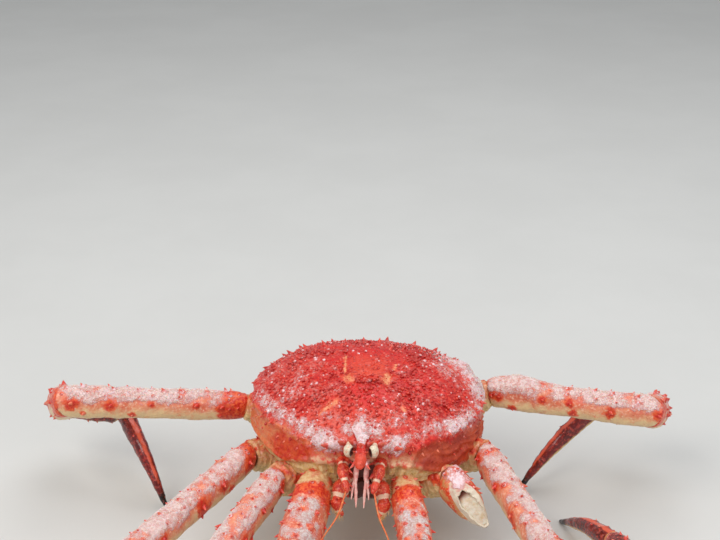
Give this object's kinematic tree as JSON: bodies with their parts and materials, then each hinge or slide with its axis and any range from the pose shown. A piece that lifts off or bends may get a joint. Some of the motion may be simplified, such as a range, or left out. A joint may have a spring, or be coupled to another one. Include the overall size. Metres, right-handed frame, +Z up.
{
  "type": "red king crab",
  "caption": "Life-size still model of a red king crab with a spiny domed shell, two claws, long jointed walking legs and one broken leg, standing on its leg tips.",
  "frame": {"origin": "middle of the whole crab's box, on the floor that the leg tips and claws rest on", "axes": "+Z up, the crab faces -Y, its own left side is +X"},
  "size_m": [0.634, 0.507, 0.153],
  "materials": {
    "back_shell": "semi-gloss red shell with frost",
    "leg_shell": "semi-gloss red shell with frost",
    "dark_shell": "glossy dark red shell",
    "under_shell": "satin tan shell",
    "mouthparts": "satin orange",
    "eye": "gloss black"
  },
  "bodies": {
    "root": {"carapace": "back_shell", "thorax": "under_shell", "abdomen": "under_shell", "eye_L": "eye", "eye_R": "eye", "antenna_L": "mouthparts", "antenna_R": "mouthparts", "antennule_L": "mouthparts", "antennule_R": "mouthparts", "maxilliped_L": "mouthparts", "maxilliped_R": "mouthparts", "claw_L_base": "under_shell", "claw_L_merus": "leg_shell", "claw_L_carpus": "leg_shell", "claw_L_palm": "leg_shell", "claw_L_finger": "leg_shell", "claw_R_base": "under_shell", "claw_R_merus": "leg_shell", "claw_R_carpus": "leg_shell", "claw_R_palm": "leg_shell", "claw_R_finger": "leg_shell", "leg1_R_base": "under_shell", "leg1_R_merus": "leg_shell", "leg1_R_carpus": "leg_shell", "leg1_R_propodus": "dark_shell", "leg1_R_dactyl": "dark_shell", "leg2_R_base": "under_shell", "leg2_R_merus": "leg_shell", "leg2_R_carpus": "leg_shell", "leg2_R_propodus": "dark_shell", "leg2_R_dactyl": "dark_shell", "leg3_R_base": "under_shell", "leg3_R_merus": "leg_shell", "leg3_R_carpus": "leg_shell", "leg3_R_propodus": "dark_shell", "leg3_R_dactyl": "dark_shell", "leg1_L_base": "under_shell", "leg1_L_stump": "leg_shell", "leg2_L_base": "under_shell", "leg2_L_merus": "leg_shell", "leg2_L_carpus": "leg_shell", "leg2_L_propodus": "dark_shell", "leg2_L_dactyl": "dark_shell", "leg3_L_base": "under_shell", "leg3_L_merus": "leg_shell", "leg3_L_carpus": "leg_shell", "leg3_L_propodus": "dark_shell", "leg3_L_dactyl": "dark_shell"}
  },
  "joints": []
}
